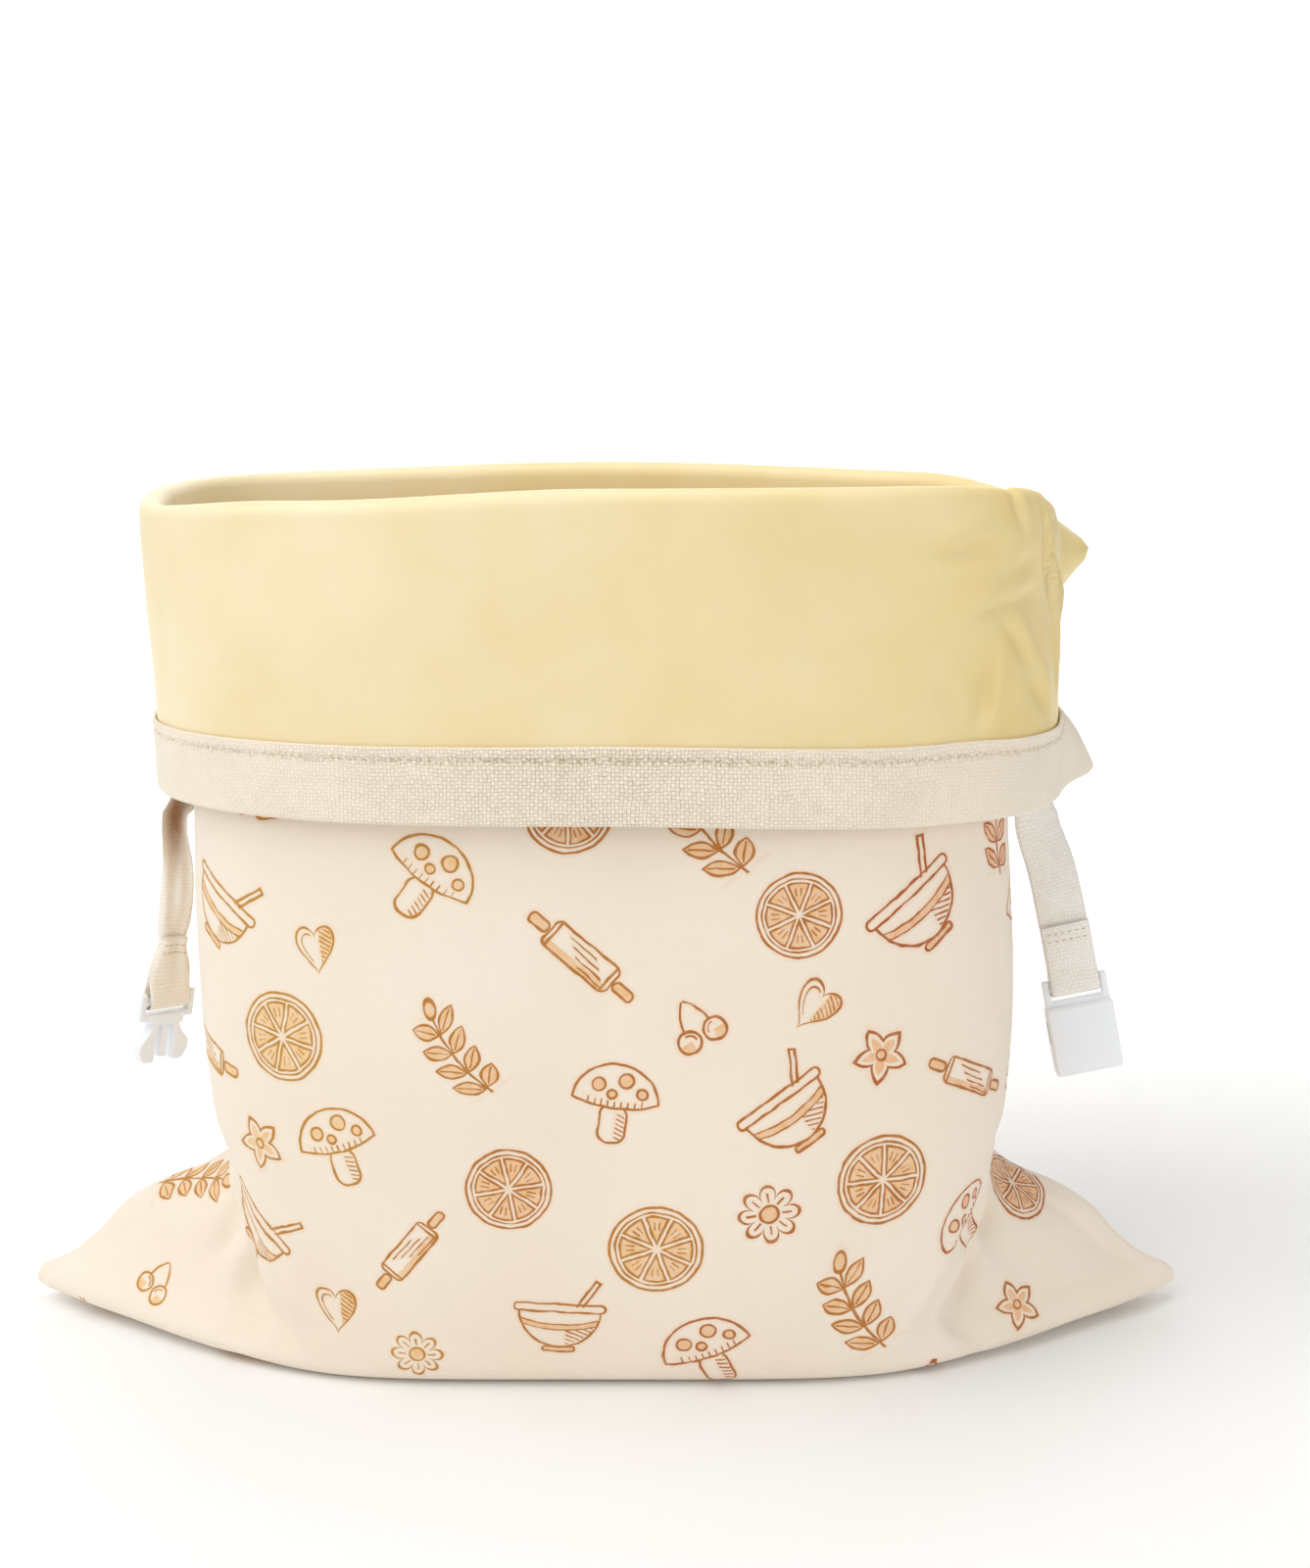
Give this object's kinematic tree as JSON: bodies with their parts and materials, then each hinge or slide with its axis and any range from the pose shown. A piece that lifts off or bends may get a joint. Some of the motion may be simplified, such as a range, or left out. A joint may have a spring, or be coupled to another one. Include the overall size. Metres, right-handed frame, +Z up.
{
  "type": "beeswax bread bag",
  "caption": "Cloth bread bag standing open, its waxed lining folded out over the rim as a deep cuff bound with tape, with a buckle strap at each side.",
  "frame": {"origin": "middle of the base, on the surface that the bag stands on", "axes": "+Z up, +X along the bag's flat width to the side with the socket half of the buckle, -Y to the front of the bag"},
  "size_m": [0.38, 0.169, 0.2777],
  "materials": {
    "printed_cotton": "matt cream cotton with a line print in ochre and orange-brown",
    "waxed_lining": "smooth waxed cloth, pale yellow, soft satin",
    "binding_tape": "coarse natural cotton tape, plain weave",
    "webbing": "flat natural cotton webbing",
    "buckle_plastic": "moulded white plastic, slightly translucent"
  },
  "bodies": {
    "root": {"printed_cloth": "printed_cotton", "waxed_lining": "waxed_lining", "hem_band": "binding_tape", "strap_left": "webbing", "strap_right": "webbing", "buckle_prong": "buckle_plastic", "buckle_socket": "buckle_plastic"}
  },
  "joints": []
}
